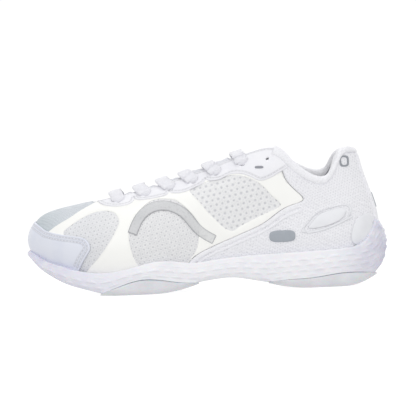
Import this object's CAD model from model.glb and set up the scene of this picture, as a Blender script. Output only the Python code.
"""The looks of a white lace-up cheer shoe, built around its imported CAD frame.

Lengths in this file are millimetres in the CAD frame (toe -X, lateral side -Y, +Z up); meshes are
written in metres. The upper lies on the same skin as the CAD parts: a place on it is (s, t), where s
counts stations round the foot from the toe tip, 0, along the lateral side to the heel, 9, or with
negative s along the medial side, and t rises from the feather line, 0, to the throat edge, 1.
"""

import math

import bpy
import numpy as np
from mathutils import Matrix, Vector
from mathutils.geometry import delaunay_2d_cdt


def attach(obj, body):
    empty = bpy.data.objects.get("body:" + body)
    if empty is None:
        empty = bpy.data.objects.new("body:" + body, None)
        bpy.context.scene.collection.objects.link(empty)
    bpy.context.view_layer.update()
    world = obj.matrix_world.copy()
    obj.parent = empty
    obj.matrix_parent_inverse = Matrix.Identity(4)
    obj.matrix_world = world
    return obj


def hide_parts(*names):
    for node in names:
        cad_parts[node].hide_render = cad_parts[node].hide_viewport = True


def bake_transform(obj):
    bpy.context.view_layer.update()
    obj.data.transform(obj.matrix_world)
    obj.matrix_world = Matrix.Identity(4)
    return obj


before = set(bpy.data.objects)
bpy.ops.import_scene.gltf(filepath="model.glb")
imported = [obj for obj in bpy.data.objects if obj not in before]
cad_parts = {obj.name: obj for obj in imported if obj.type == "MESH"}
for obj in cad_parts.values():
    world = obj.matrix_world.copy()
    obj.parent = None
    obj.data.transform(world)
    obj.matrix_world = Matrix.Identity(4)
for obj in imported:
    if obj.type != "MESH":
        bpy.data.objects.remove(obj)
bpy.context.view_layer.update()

SHOE, TIP = "shoe", "tongue_tip"
MM = 0.001
rng = np.random.default_rng(7)

# ---------------------------------------------------------------- the last, as in the CAD source
LEVELS = [0, 0.22, 0.48, 0.78, 1]
LATERAL = [
    [(-122, 7, 23), (-130, 7, 39), (-126.5, 6, 53), (-111, 4, 63.5), (-80, 2, 69.5)],
    [(-108, -20, 19), (-114, -24, 35), (-111, -22, 49), (-100, -14, 60.5), (-80, -7, 69)],
    [(-84, -36, 15.5), (-87, -40, 29), (-86, -38, 44), (-80, -26, 59.5), (-73, -12, 69.5)],
    [(-48, -43, 14.5), (-50, -47, 28), (-49, -44, 46), (-46, -31, 64.5), (-44, -14.5, 75.5)],
    [(-6, -37.5, 17.5), (-6, -41.5, 29), (-5, -39, 51), (0, -30, 74), (3, -17, 89)],
    [(32, -32, 20), (32, -36, 32), (34, -34.5, 56), (40, -28.5, 84), (48, -20, 103.3)],
    [(60, -30, 21.5), (60, -33.5, 34), (61, -32, 53), (63, -29, 73), (65, -26, 92)],
    [(86, -29, 22), (87, -32.5, 35), (87, -30.5, 50), (87, -28, 66), (88, -26, 79.5)],
    [(108, -22.5, 22), (109, -25.5, 38), (107.5, -23.5, 58), (104, -20, 79), (100.5, -17.5, 98)],
    [(121, 0, 23), (125.2, 0, 42), (122.3, 0, 62), (115.5, 0, 83), (111.5, 0, 99.5)],
]
MEDIAL = [1, 1.5, 1.1, 1.0, 0.86, 0.92, 0.96, 1, 1, 1]
MEDIAL_SHARE = [1, 1, 0.9, 0.6, 0]
MEDIAL_RISE = [0, 0, 0, 0, 0, 0, 2, 6, 1, 0]
RISE_SHARE = [0, 0, 0, 0.4, 1]
ROUND, HEEL = 18, 9
SOLE_WALL = [2.9, 2.8, 2.8, 2.6, 2.8, 3.0, 3.2, 3.6, 4.4, 5.0]
WALL_GAP = 2.2
RIM = [(-134, 35.5), (-129.7, 33.5), (-123, 28.8), (-112, 24.2), (-98, 19.8), (-82, 17), (-66, 17.4),
       (-50, 20.8), (-38, 23.3), (-24, 23.2), (-11, 21.6), (5, 23), (25, 24.8), (57, 26), (87, 27),
       (103, 28), (114, 30.5), (122, 37), (128.6, 47.5)]
BELLY = [(-134, 32), (-125, 22.2), (-116, 15.9), (-107.5, 11.2), (-90, 5.3), (-76, 1.8), (-64, 0.8),
         (-40, 2.2), (-28, 3.7), (-10, 6.7), (8, 9.3), (17, 9.8), (34, 7.2), (52, 3.8), (69, 1.6),
         (80, 1.2), (98, 1.5), (110, 3), (118, 5.2), (123, 8), (127.5, 12.5), (131, 18.5), (133, 27)]
FLOOR = [(-134, 24.5), (-115, 19.4), (-95, 14.5), (-70, 11.5), (-40, 11.5), (0, 15), (40, 18.5),
         (90, 20), (134, 20)]
FORE_PAD = [(-78, 1.5), (-63, 6.9), (-52, 10.2), (-43, 11), (-32, 9.9), (-20, 7.9), (-6, 7.2)]
FORE_GROUND = (-66, -42)
HEEL_PAD = [(44, 5.3), (57, 6.5), (74, 7.2), (86, 8.6), (97, 10), (107, 10.2), (124, 8.8)]
HEEL_GROUND = (76, 98)
TONGUE_SHAPE = [(-92, 63.2, 9), (-82, 65.7, 13), (-72, 68.8, 16), (-60, 72.3, 18), (-44, 76.3, 19.5),
                (-20, 83.4, 20), (3, 91.2, 20.3), (22, 97.3, 20.3), (34, 100.7, 19.2), (44, 102.5, 18),
                (51, 103, 15.5), (55, 102.4, 12), (57, 101.6, 8.5)]
TONGUE_ARCH = [(-60, 24), (-20, 28), (22, 33)]
DROOP_FROM, DROOP = 10, 0.075
EYELETS = [-62, -42, -24, -7, 10, 29]
SPARE_EYELET = 47
ALL_EYELETS = EYELETS + [SPARE_EYELET]
EYELET_T, EYELET_R = 0.9, 1.9
HINGE_X, HINGE_BLEND = 35.5, 5
SIDES = ((1, "lateral"), (-1, "medial"))

# Overlay outlines in side view, as (x, z).
CAP_EDGE = [(-93.5, 17), (-89.3, 25.5), (-85.3, 31.5), (-83.7, 35.3), (-85, 39.1), (-88.6, 42.2),
            (-97, 44), (-107.7, 45.9), (-116, 48.2)]
EYESTAY_EDGE = [(-78, 69.2), (-75.5, 66), (-66.3, 64), (-56.7, 64.7), (-51.6, 67.4), (-51, 70),
                (-49, 68.2), (-40.3, 68.3), (-32.8, 69.5), (-26.6, 71.4), (-25.6, 74), (-23.5, 72.2),
                (-15, 72.4), (-8, 75), (0.2, 79), (1.4, 82), (3.6, 80.2), (12, 81), (18, 83.7),
                (24, 84.6), (31, 83.2), (37.8, 79.9), (43, 79), (50.4, 81.6), (57.2, 85.1), (62, 87.3)]
FRONT_WINDOW = [(-103.5, 46.5), (-96, 53), (-88.7, 57.2), (-81, 60.4), (-73.8, 61.4), (-67.9, 60.5),
                (-64, 57.8), (-62.5, 53.7), (-63.4, 49.8), (-69.5, 39.2), (-78.9, 27), (-84.5, 21.3),
                (-90, 16.5), (-97, 19), (-92, 30), (-89, 37), (-96, 42)]
OVAL_WINDOW = [(-55.5, 39.5), (-54, 50), (-48, 59.5), (-41, 66), (-33, 68.6), (-25, 68), (-18, 65),
               (-7, 53), (-4.8, 43), (-6.8, 32), (-12, 24.5), (-20, 18), (-35, 16), (-48, 20), (-53, 28)]
REAR_WINDOW = [(-10.5, 73.5), (-5, 76.6), (3, 79.8), (12, 82.4), (22, 83.8), (30, 82.2), (38, 78.5),
               (44.5, 73), (50, 66.5), (55, 60.5), (46, 56), (36.6, 51.9), (25.3, 46.6), (19.5, 43.4),
               (13, 46.2), (7, 52.4), (0.7, 59.3), (-5, 66.9)]
FILM_REAR = [(-14, 21.4), (-5, 28.5), (14, 36.6), (32.6, 43.9), (45, 50), (59, 59), (71.5, 64),
             (63.4, 73.7), (57.5, 84.5), (59, 92)]
FILM_FRONT = [(-117, 46), (-109, 51.8), (-100, 56.7), (-92.3, 61.5), (-84.7, 65.6), (-78, 69)]
THUMB_PAD = [(75, 42.6), (77.1, 47.3), (83.2, 53), (92.2, 56), (99.6, 56.8), (102.3, 54), (99, 48.8),
             (88, 44)]
HEEL_GRIP = [(106, 31), (107.5, 45.5), (113.8, 51.3), (120, 51.5), (121.5, 40), (119.5, 31.5)]
WAVE = [(-53, 44), (-46, 57), (-32, 63.5), (-16, 58), (-6, 46), (6, 37.5)]
BADGE = (55.3, 38.2, 19, 8.4)
HEEL_BADGE = (102.4, 90.8, 6.8, 8.2)

# Layers: lift of the underside off the skin, and thickness.
BACKING, WINDOW_MESH, TOE_MESH = (-1.6, 1.1), (-0.55, 0.7), (-0.55, 0.8)
FILM, HEEL_TEXTILE, OVER_FILM = (0.1, 0.5), (0.15, 0.95), (0.6, 1.0)
ON_FILM, ON_HEEL, FOLD, RIDGE = (0.55, 0.3), (1.0, 0.9), (0.9, 0.7), (0.95, 0.75)
PAD_RING, MARK_RING, TACK = (1.0, 0.55), (1.0, 0.7), (1.5, 0.6)
BACKSTAY, BACK_BAR = (0.9, 1.0), (2.2, 0.7)


# ---------------------------------------------------------------- the skin
def spline(knots, values, at, closed=False):
    """A cubic spline through values, numbers or vectors, at knots; natural ends unless it is closed."""
    knots, v, at = np.asarray(knots, float), np.asarray(values, float), np.asarray(at, float)
    shape = v.shape[1:]
    v = v.reshape(len(v), -1)
    if closed:
        at = knots[0] + np.mod(at - knots[0], knots[-1] - knots[0])
        v = np.concatenate([v, v[:1]])
    n, h = len(knots), np.diff(knots)
    slope = np.diff(v, axis=0) / h[:, None]
    a, b = np.eye(n), np.zeros_like(v)
    for i in range(1, n - 1):
        a[i, i - 1 : i + 2] = h[i - 1], 2 * (h[i - 1] + h[i]), h[i]
        b[i] = 6 * (slope[i] - slope[i - 1])
    if closed:
        a[0, 0], a[0, 1], a[0, n - 2] = 2 * (h[0] + h[-1]), h[0], h[-1]
        b[0] = 6 * (slope[0] - slope[-1])
        a[-1, 0] = -1
    m = np.linalg.solve(a, b)
    k = np.clip(np.searchsorted(knots, at, side="right") - 1, 0, n - 2)
    width, u, w = h[k][..., None], (at - knots[k])[..., None], (knots[k + 1] - at)[..., None]
    bent = (m[k] * (w**3 - w * width**2) + m[k + 1] * (u**3 - u * width**2)) / (6 * width)
    return (bent + (v[k] * w + v[k + 1] * u) / width).reshape(at.shape + shape)


def ease(v):
    """A smooth step from 0 to 1."""
    v = np.clip(v, 0, 1)
    return v * v * (3 - 2 * v)


def run_along(path):
    """The length along a path at each of its points."""
    return np.concatenate([[0], np.cumsum(np.linalg.norm(np.diff(path, axis=0), axis=1))])


def blunt(v, power):
    """Turns a circle's cosines and sines into those of a rounder or squarer oval."""
    return np.sign(v) * abs(v) ** power


def last_net():
    """The last's points all round: the lateral stations, then the medial ones back to the toe."""
    lateral = np.array(LATERAL, float)
    medial = lateral[-2:0:-1].copy()
    medial[..., 1] *= -1 - (np.array(MEDIAL)[-2:0:-1, None] - 1) * np.array(MEDIAL_SHARE)
    medial[..., 2] += np.array(MEDIAL_RISE)[-2:0:-1, None] * np.array(RISE_SHARE)
    return np.concatenate([lateral, medial])


NET = last_net()


def wall(s, t):
    """The place on the last's skin at (s, t)."""
    rows = spline(range(ROUND + 1), NET, s, closed=True)
    return np.einsum("...k,...kc->...c", spline(LEVELS, np.eye(len(LEVELS)), t), rows)


def skin_frame(s, t):
    """Place, unit normal outwards, unit direction of rising s, and unit direction up the skin."""
    step = 1e-3
    along = wall(s + step, t) - wall(s - step, t)
    up = wall(s, t + step) - wall(s, t - step)
    out = np.cross(along, up)
    unit = lambda v: v / np.linalg.norm(v, axis=-1, keepdims=True)
    return wall(s, t), unit(out), unit(along), unit(up)


def skin(s, t, lift=0.0):
    """The place lifted off the skin at (s, t)."""
    s, t, lift = np.broadcast_arrays(np.asarray(s, float), np.asarray(t, float), np.asarray(lift, float))
    place, out, _, _ = skin_frame(s, t)
    return place + out * lift[..., None]


GRID_S, GRID_T = np.meshgrid(np.linspace(0, HEEL, 181), np.linspace(0, 1, 81), indexing="ij")
GRID_XZ = wall(GRID_S, GRID_T)[..., [0, 2]]


def locate(xz):
    """The (s, t) on the lateral side seen at these side-view (x, z), as close as the skin gets."""
    xz = np.asarray(xz, float)
    far = ((GRID_XZ[None] - xz[:, None, None]) ** 2).sum(-1).reshape(len(xz), -1)
    best = far.argmin(1)
    st = np.stack([GRID_S.ravel()[best], GRID_T.ravel()[best]], axis=1)
    step = 1e-3
    for _ in range(12):
        here = wall(st[:, 0], st[:, 1])[:, [0, 2]]
        ds = (wall(st[:, 0] + step, st[:, 1])[:, [0, 2]] - here) / step
        dt = (wall(st[:, 0], st[:, 1] + step)[:, [0, 2]] - here) / step
        miss = xz - here
        det = ds[:, 0] * dt[:, 1] - ds[:, 1] * dt[:, 0]
        det = np.where(abs(det) < 8, np.sign(det + 1e-9) * 8, det)
        move_s = (miss[:, 0] * dt[:, 1] - miss[:, 1] * dt[:, 0]) / det
        move_t = (ds[:, 0] * miss[:, 1] - ds[:, 1] * miss[:, 0]) / det
        st[:, 0] = np.clip(st[:, 0] + np.clip(move_s, -0.2, 0.2), 0.02, HEEL - 0.02)
        st[:, 1] = np.clip(st[:, 1] + np.clip(move_t, -0.1, 0.1), 0.0, 1.0)
    return st


def station(x, t=1.0):
    """The lateral s at which the skin is at x, at height t."""
    low, high = 0.0, float(HEEL)
    for _ in range(30):
        middle = (low + high) / 2
        low, high = (middle, high) if wall(middle, t)[0] < x else (low, middle)
    return low


# ---------------------------------------------------------------- outlines
def smooth(points, closed=True, per=8):
    """Dense points on a spline through these ones."""
    points = np.asarray(points, float)
    n = len(points)
    if closed:
        return spline(range(n + 1), points, np.arange(n * per) / per, closed=True)
    return spline(range(n), points, np.linspace(0, n - 1, (n - 1) * per + 1))


def mirrored(loops, side):
    """Loops on the lateral side, 1, or the same on the medial side, -1."""
    return [np.asarray(loop) * (side, 1) for loop in loops]


def line(s0, t0, s1, t1, count=40):
    return np.linspace((s0, t0), (s1, t1), count)


def eyelet_loop(x, radius=EYELET_R):
    """A round hole; the unused one is smaller."""
    radius = radius - 0.9 if x == SPARE_EYELET else radius
    s = station(x, EYELET_T)
    step = 1e-3
    a = np.linalg.norm(wall(s + step, EYELET_T) - wall(s, EYELET_T)) / step
    b = np.linalg.norm(wall(s, EYELET_T + step) - wall(s, EYELET_T)) / step
    turn = np.linspace(0, 2 * math.pi, 24, endpoint=False)
    return np.stack([s + radius * np.cos(turn) / a, EYELET_T + radius * np.sin(turn) / b], axis=1)


def inside(points, loops):
    """Which points lie inside the loops, counting a loop in a loop as a hole."""
    hit = np.zeros(len(points), bool)
    x, y = points[:, :1], points[:, 1:]
    for loop in loops:
        a, b = loop, np.roll(loop, -1, axis=0)
        spans = (a[:, 1] > y) != (b[:, 1] > y)
        rise = np.where(a[:, 1] == b[:, 1], 1, b[:, 1] - a[:, 1])
        hit ^= (np.sum(spans & (x < a[:, 0] + (y - a[:, 1]) * (b[:, 0] - a[:, 0]) / rise), axis=1) % 2) > 0
    return hit


def nearest(points, targets):
    """Each point's distance to the nearest target, worked out in chunks to save memory."""
    found = []
    chunk = 1500
    for i in range(0, len(points), chunk):
        gap = points[i : i + chunk, None] - targets[None]
        found.append(np.sqrt(np.einsum("ijk,ijk->ij", gap, gap).min(1)))
    return np.concatenate(found)


# ---------------------------------------------------------------- meshes
def new_mesh(name, verts, faces, material, body=SHOE, values=None, uv=None):
    """A mesh piece in metres that rides on a body. values are per-vertex float attributes by name."""
    data = bpy.data.meshes.new(name)
    data.from_pydata((np.asarray(verts) * MM).tolist(), [], [list(map(int, f)) for f in faces])
    for key, numbers in (values or {}).items():
        data.attributes.new(key, "FLOAT", "POINT").data.foreach_set("value", np.asarray(numbers, float))
    if uv is not None:
        layer = data.uv_layers.new(name="UVMap")
        corners = np.empty(len(data.loops), int)
        data.loops.foreach_get("vertex_index", corners)
        layer.data.foreach_set("uv", np.asarray(uv, float)[corners].ravel())
    data.validate()
    data.materials.append(material)
    data.shade_smooth()
    piece = bpy.data.objects.new(name, data)
    bpy.context.scene.collection.objects.link(piece)
    if body:
        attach(piece, body)
    return piece


def joined(parts):
    """One vertex and face list from several."""
    verts, faces, count = [], [], 0
    for v, f in parts:
        verts.append(np.asarray(v, float))
        faces += [tuple(i + count for i in face) for face in f]
        count += len(v)
    return np.concatenate(verts), faces


def tube_faces(rings, around, caps=True):
    """Quads between rings of vertices, with caps on the two ends."""
    faces = []
    for i in range(rings - 1):
        a, b = i * around, (i + 1) * around
        faces += [(a + j, a + (j + 1) % around, b + (j + 1) % around, b + j) for j in range(around)]
    if caps:
        faces += [tuple(range(around))[::-1], tuple((rings - 1) * around + j for j in range(around))]
    return faces


def resample(loop, step):
    """The loop with its points evenly spaced on the skin."""
    closed = np.vstack([loop, loop[:1]])
    run = run_along(wall(closed[:, 0], closed[:, 1]))
    count = max(10, round(run[-1] / step))
    at = np.arange(count) * run[-1] / count
    return np.stack([np.interp(at, run, closed[:, k]) for k in (0, 1)], axis=1)


def skin_scale(st):
    """Millimetres per unit of s and of t at each (s, t)."""
    step = 1e-3
    a = np.linalg.norm(wall(st[:, 0] + step, st[:, 1]) - wall(st[:, 0] - step, st[:, 1]), axis=1)
    b = np.linalg.norm(wall(st[:, 0], st[:, 1] + step) - wall(st[:, 0], st[:, 1] - step), axis=1)
    return np.stack([a, b], axis=1) / (2 * step)


def inset(loop, loops, depth):
    """The loop moved into the region by depth."""
    scale = skin_scale(loop)
    along = (np.roll(loop, -1, axis=0) - np.roll(loop, 1, axis=0)) * scale
    out = np.stack([-along[:, 1], along[:, 0]], axis=1)
    out /= np.linalg.norm(out, axis=1, keepdims=True) + 1e-12
    trial = loop + out * 0.15 / scale
    sign = 1 if inside(trial, loops).mean() > 0.5 else -1
    return loop + sign * out * depth / scale


def overlay(name, loops, layer, material, edge=None, step=1.6, detail=None, rim_step=1.0, **more):
    """A closed sheet on the skin inside the loops, holes included, with rounded upper edges. detail
    takes (s, t, place, distance from the edge) and returns an added height and a dict of attributes."""
    lift, thick = layer
    edge = min(thick * 0.95, edge or thick * 0.8)
    loops = [resample(np.asarray(loop, float), rim_step) for loop in loops]
    rim = np.concatenate(loops)
    scale = skin_scale(rim).mean(0)
    rim_place = wall(rim[:, 0], rim[:, 1])
    points = [rim]
    for depth in (0.3 * edge, edge):
        ring = np.concatenate([inset(loop, loops, depth) for loop in loops])
        ring = ring[inside(ring, loops)]
        ring = ring[nearest(wall(ring[:, 0], ring[:, 1]), rim_place) > 0.8 * depth]
        points.append(ring)
    low, high = rim.min(0), rim.max(0)
    columns = np.arange(low[0], high[0], step / scale[0])
    rows = np.arange(low[1], high[1], step * 0.866 / scale[1])
    grid = np.stack(np.meshgrid(columns, rows, indexing="ij"), axis=-1)
    grid[:, 1::2, 0] += step / scale[0] / 2
    grid = grid.reshape(-1, 2)
    grid = grid[inside(grid, loops)]
    grid = grid[nearest(wall(grid[:, 0], grid[:, 1]), rim_place) > edge + 0.45 * step]
    points = np.concatenate(points + [grid])
    edges, first = [], 0
    for loop in loops:
        edges += [(first + i, first + (i + 1) % len(loop)) for i in range(len(loop))]
        first += len(loop)
    flat = [Vector(p) for p in points * scale]
    verts, _, faces = delaunay_2d_cdt(flat, edges, [], 0, 1e-5, False)[:3]
    st = np.array([tuple(v) for v in verts]) / scale
    tris = np.array([f for f in faces if len(f) == 3])
    tris = tris[inside(st[tris].mean(1), loops)]
    used = np.unique(tris)
    renumber = np.full(len(st), -1)
    renumber[used] = np.arange(len(used))
    st, tris = st[used], renumber[tris]
    place, out, _, _ = skin_frame(st[:, 0], st[:, 1])
    depth = nearest(place, rim_place)
    rise = edge - np.clip(depth, 0, edge)
    height = lift + thick - edge + np.sqrt(np.maximum(edge**2 - rise**2, 0))
    values = {}
    if detail:
        extra, values = detail(st[:, 0], st[:, 1], place, depth)
        height = height + extra
    top, bottom = place + out * height[:, None], place + out * lift
    a, b, c = (top[tris[:, k]] for k in range(3))
    wrong = (np.cross(b - a, c - a) * out[tris[:, 0]]).sum(1) < 0
    tris[wrong] = tris[wrong][:, ::-1]
    directed = {(int(f[i]), int(f[(i + 1) % 3])) for f in tris for i in range(3)}
    n = len(st)
    faces = [tuple(f) for f in tris] + [(f[2] + n, f[1] + n, f[0] + n) for f in tris]
    faces += [(j, i, i + n, j + n) for i, j in sorted(directed) if (j, i) not in directed]
    values = {key: np.concatenate([v, v]) for key, v in values.items()}
    uv = np.concatenate([st, st]) * scale
    return new_mesh(name, np.concatenate([top, bottom]), faces, material, values=values, uv=uv, **more)


def ellipsoids(centres, along, out, length, width, height, around=8, rings=5):
    """Small capsules: one per centre, lying along a direction."""
    parts = []
    for centre, a, n in zip(centres, along, out):
        b = np.cross(n, a)
        lat = np.linspace(0.12, math.pi - 0.12, rings)[:, None]
        turn = np.arange(around)[None, :] * 2 * math.pi / around
        x = length / 2 * np.cos(lat) + 0 * turn
        y, z = width / 2 * np.sin(lat) * np.cos(turn), height / 2 * np.sin(lat) * np.sin(turn)
        verts = centre + x[..., None] * a + y[..., None] * b + z[..., None] * n
        parts.append((verts.reshape(-1, 3), tube_faces(rings, around)))
    return joined(parts)


def grooved(paths, width=0.6, depth=0.3):
    """A detail that sinks and darkens a sheet along (s, t) paths, under a row of stitches."""
    at, targets = np.linspace(0, 1, 500), []
    for path in paths:
        given = np.linspace(0, 1, len(path))
        s, t = (np.interp(at, given, np.asarray(path)[:, k]) for k in (0, 1))
        targets.append(wall(s, t))
    targets = np.concatenate(targets)

    def detail(s, t, place, distance):
        mark = np.exp(-((nearest(place, targets) / width) ** 2))
        return -depth * mark, {"pit": mark}
    return detail


def stitches(name, paths, lift, material, pitch=2.7, length=2.0, width=0.55, sunk=0.1):
    """Rows of stitches along (s, t) paths."""
    centres, along, out = [], [], []
    for path in paths:
        path = np.asarray(path, float)
        place = wall(path[:, 0], path[:, 1])
        run = run_along(place)
        at = np.arange(pitch / 2, run[-1], pitch)
        s, t = (np.interp(at, run, path[:, k]) for k in (0, 1))
        ahead = [np.interp(at + 0.4, run, path[:, k]) for k in (0, 1)]
        behind = [np.interp(at - 0.4, run, path[:, k]) for k in (0, 1)]
        way = wall(*ahead) - wall(*behind)
        centre, normal, _, _ = skin_frame(s, t)
        centres.append(centre + normal * (lift - sunk))
        along.append(way / np.linalg.norm(way, axis=1, keepdims=True))
        out.append(normal)
    verts, faces = ellipsoids(np.concatenate(centres), np.concatenate(along), np.concatenate(out),
                              length, width, width)
    return new_mesh(name, verts, faces, material)


def cord_mesh(path, widths, heights, sideways, around=12, power=0.7):
    """A rounded flat section swept along a path; sideways are the directions of its width."""
    path, sideways = np.asarray(path), np.asarray(sideways)
    way = np.gradient(path, axis=0)
    way /= np.linalg.norm(way, axis=1, keepdims=True)
    side = sideways - (sideways * way).sum(1, keepdims=True) * way
    side /= np.linalg.norm(side, axis=1, keepdims=True)
    up = np.cross(way, side)
    turn = np.arange(around) * 2 * math.pi / around
    x, y = blunt(np.cos(turn), power), blunt(np.sin(turn), power)
    verts = (path[:, None] + side[:, None] * (x[None, :, None] * np.asarray(widths)[:, None, None] / 2)
             + up[:, None] * (y[None, :, None] * np.asarray(heights)[:, None, None] / 2))
    return verts.reshape(-1, 3), tube_faces(len(path), around)


# ---------------------------------------------------------------- materials
def srgb(r, g, b):
    return tuple(((c / 255 + 0.055) / 1.055) ** 2.4 for c in (r, g, b)) + (1.0,)


class Look:
    """A small builder of one Principled material with noise, weave and bump, all in object space."""

    def __init__(self, name, colour, rough, **sockets):
        self.material = bpy.data.materials.new(name)
        self.material.use_nodes = True
        self.tree = self.material.node_tree
        self.shader = self.tree.nodes["Principled BSDF"]
        self.shader.inputs["Base Color"].default_value = colour
        self.shader.inputs["Roughness"].default_value = rough
        for socket, value in sockets.items():
            self.shader.inputs[socket.replace("_", " ")].default_value = value
        self.colour = None
        self.first = colour
        self.height = None
        self.place = self.node("ShaderNodeTexCoord").outputs["Object"]

    def node(self, kind, **settings):
        made = self.tree.nodes.new(kind)
        for key, value in settings.items():
            setattr(made, key, value)
        return made

    def link(self, a, b):
        self.tree.links.new(a, b)

    def maths(self, operation, a, b=None):
        made = self.node("ShaderNodeMath", operation=operation)
        for socket, value in zip(made.inputs, (a, b)):
            if value is None:
                continue
            if isinstance(value, (int, float)):
                socket.default_value = value
            else:
                self.link(value, socket)
        return made.outputs[0]

    def noise(self, size, detail=2.0, rough=0.5):
        """Noise with features of about size mm."""
        made = self.node("ShaderNodeTexNoise")
        made.inputs["Scale"].default_value = 1 / (size * MM)
        made.inputs["Detail"].default_value = detail
        made.inputs["Roughness"].default_value = rough
        self.link(self.place, made.inputs["Vector"])
        return made.outputs["Fac"]

    def cells(self, size):
        """Distance to the nearest of a scatter of points about size mm apart."""
        made = self.node("ShaderNodeTexVoronoi", feature="F1")
        made.inputs["Scale"].default_value = 1 / (size * MM)
        made.inputs["Randomness"].default_value = 1.0
        self.link(self.place, made.inputs["Vector"])
        return made.outputs["Distance"]

    def waves(self, size, direction="X", warp=0.0):
        """Bands every size mm along a direction."""
        made = self.node("ShaderNodeTexWave", wave_type="BANDS", bands_direction=direction)
        made.inputs["Scale"].default_value = 0.314 / (size * MM)
        made.inputs["Distortion"].default_value = warp
        self.link(self.place, made.inputs["Vector"])
        return made.outputs["Fac"]

    def attribute(self, name):
        return self.node("ShaderNodeAttribute", attribute_name=name).outputs["Fac"]

    def tint(self, amount, colour, low=0.0, high=1.0):
        """Mixes towards a colour where amount rises from low to high."""
        ramp = self.node("ShaderNodeMapRange")
        ramp.inputs["From Min"].default_value = low
        ramp.inputs["From Max"].default_value = high
        self.link(amount, ramp.inputs["Value"])
        mix = self.node("ShaderNodeMix", data_type="RGBA")
        self.link(ramp.outputs["Result"], mix.inputs["Factor"])
        if self.colour is None:
            mix.inputs[6].default_value = self.first
        else:
            self.link(self.colour, mix.inputs[6])
        mix.inputs[7].default_value = colour
        self.colour = mix.outputs[2]
        self.link(self.colour, self.shader.inputs["Base Color"])
        return self

    def rise(self, amount, depth):
        """Adds amount times depth, in mm, to the bump height."""
        part = self.maths("MULTIPLY", amount, depth * MM)
        self.height = part if self.height is None else self.maths("ADD", self.height, part)
        return self

    def roughen(self, amount, low, high):
        ramp = self.node("ShaderNodeMapRange")
        ramp.inputs["To Min"].default_value = low
        ramp.inputs["To Max"].default_value = high
        self.link(amount, ramp.inputs["Value"])
        self.link(ramp.outputs["Result"], self.shader.inputs["Roughness"])
        return self

    def done(self):
        if self.height is not None:
            bump = self.node("ShaderNodeBump")
            bump.inputs["Strength"].default_value = 1.0
            bump.inputs["Distance"].default_value = 1.0
            self.link(self.height, bump.inputs["Height"])
            self.link(bump.outputs["Normal"], self.shader.inputs["Normal"])
        return self.material


def gradient_along(look, axis):
    """The object-space coordinate along an axis, in metres."""
    parts = look.node("ShaderNodeSeparateXYZ")
    look.link(look.place, parts.inputs[0])
    return parts.outputs[axis]


def foam_look():
    look = Look("midsole_foam", srgb(243, 243, 247), 0.5, Subsurface_Weight=0.08, Subsurface_Scale=0.002)
    x = gradient_along(look, "X")
    look.tint(x, srgb(206, 205, 222), 0.09, 0.134)
    look.tint(x, srgb(222, 221, 238), -0.04, -0.125)
    look.tint(look.noise(9, 3), srgb(236, 236, 242), 0.45, 0.8)
    look.rise(look.noise(0.5, 2), 0.02).rise(look.cells(1.1), 0.02)
    return look.roughen(look.noise(3), 0.42, 0.58).done()


def rubber_look():
    look = Look("clear_rubber", srgb(226, 227, 232), 0.28, Subsurface_Weight=0.25, Subsurface_Scale=0.004,
                Coat_Weight=0.2, Coat_Roughness=0.2)
    look.tint(look.noise(12, 3), srgb(216, 217, 222), 0.4, 0.75)
    look.tint(look.attribute("seam"), srgb(140, 142, 150), 0.0, 1.4)
    return look.rise(look.noise(0.7, 2), 0.015).roughen(look.noise(2.5), 0.22, 0.38).done()


def mesh_look(name, colour, dark, yarn=0.55, toe=None, toe_from=-0.1, toe_to=-0.121):
    """Open mesh: fine yarn crossing both ways, and darker pits where the attribute says."""
    look = Look(name, colour, 0.75, Sheen_Weight=0.25, Sheen_Roughness=0.5)
    weave = look.maths("MULTIPLY", look.waves(yarn, "DIAGONAL", 1.0), look.waves(yarn * 0.9, "Z", 1.0))
    look.tint(weave, tuple(0.86 * c for c in colour[:3]) + (1.0,), 0.6, 0.0)
    look.tint(look.noise(2.2, 2), tuple(0.93 * c for c in colour[:3]) + (1.0,), 0.5, 0.75)
    if toe:
        look.tint(gradient_along(look, "X"), toe, toe_from, toe_to)
    look.tint(look.attribute("pit"), dark)
    return look.rise(weave, 0.12).rise(look.noise(0.5), 0.05).done()


def film_look():
    look = Look("fused_film", srgb(252, 252, 249), 0.36, Coat_Weight=0.15, Coat_Roughness=0.25)
    look.tint(look.noise(30, 2), srgb(248, 248, 245), 0.4, 0.8)
    return look.rise(look.noise(2.5, 3), 0.03).roughen(look.noise(6), 0.3, 0.44).done()


def synthetic_look(name, colour, other):
    look = Look(name, colour, 0.42, Coat_Weight=0.1, Coat_Roughness=0.3)
    look.tint(look.noise(14, 3), other, 0.4, 0.75)
    look.tint(look.attribute("pit"), tuple(0.68 * c for c in colour[:3]) + (1.0,))
    look.rise(look.cells(0.9), 0.05).rise(look.noise(0.5), 0.03)
    return look.roughen(look.noise(3), 0.36, 0.5).done()


def knit_look(name, colour, dark, pitch=1.7, fuzz=0.3):
    look = Look(name, colour, 0.8, Sheen_Weight=fuzz, Sheen_Roughness=0.5)
    look.tint(look.noise(1.1, 2), tuple(0.88 * c for c in colour[:3]) + (1.0,), 0.45, 0.8)
    look.tint(look.attribute("pit"), dark)
    stitch = look.maths("MULTIPLY", look.waves(pitch / 2, "X", 0.6), look.waves(pitch / 2, "Z", 0.6))
    return look.rise(stitch, 0.1).rise(look.noise(0.4), 0.05).done()


def moulded_look(name, colour, rough=0.4):
    look = Look(name, colour, rough)
    look.tint(look.noise(8, 2), tuple(0.95 * c for c in colour[:3]) + (1.0,), 0.4, 0.8)
    look.tint(look.attribute("pit"), tuple(0.82 * c for c in colour[:3]) + (1.0,))
    return look.rise(look.noise(0.6), 0.015).roughen(look.noise(2), rough - 0.05, rough + 0.08).done()


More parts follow.
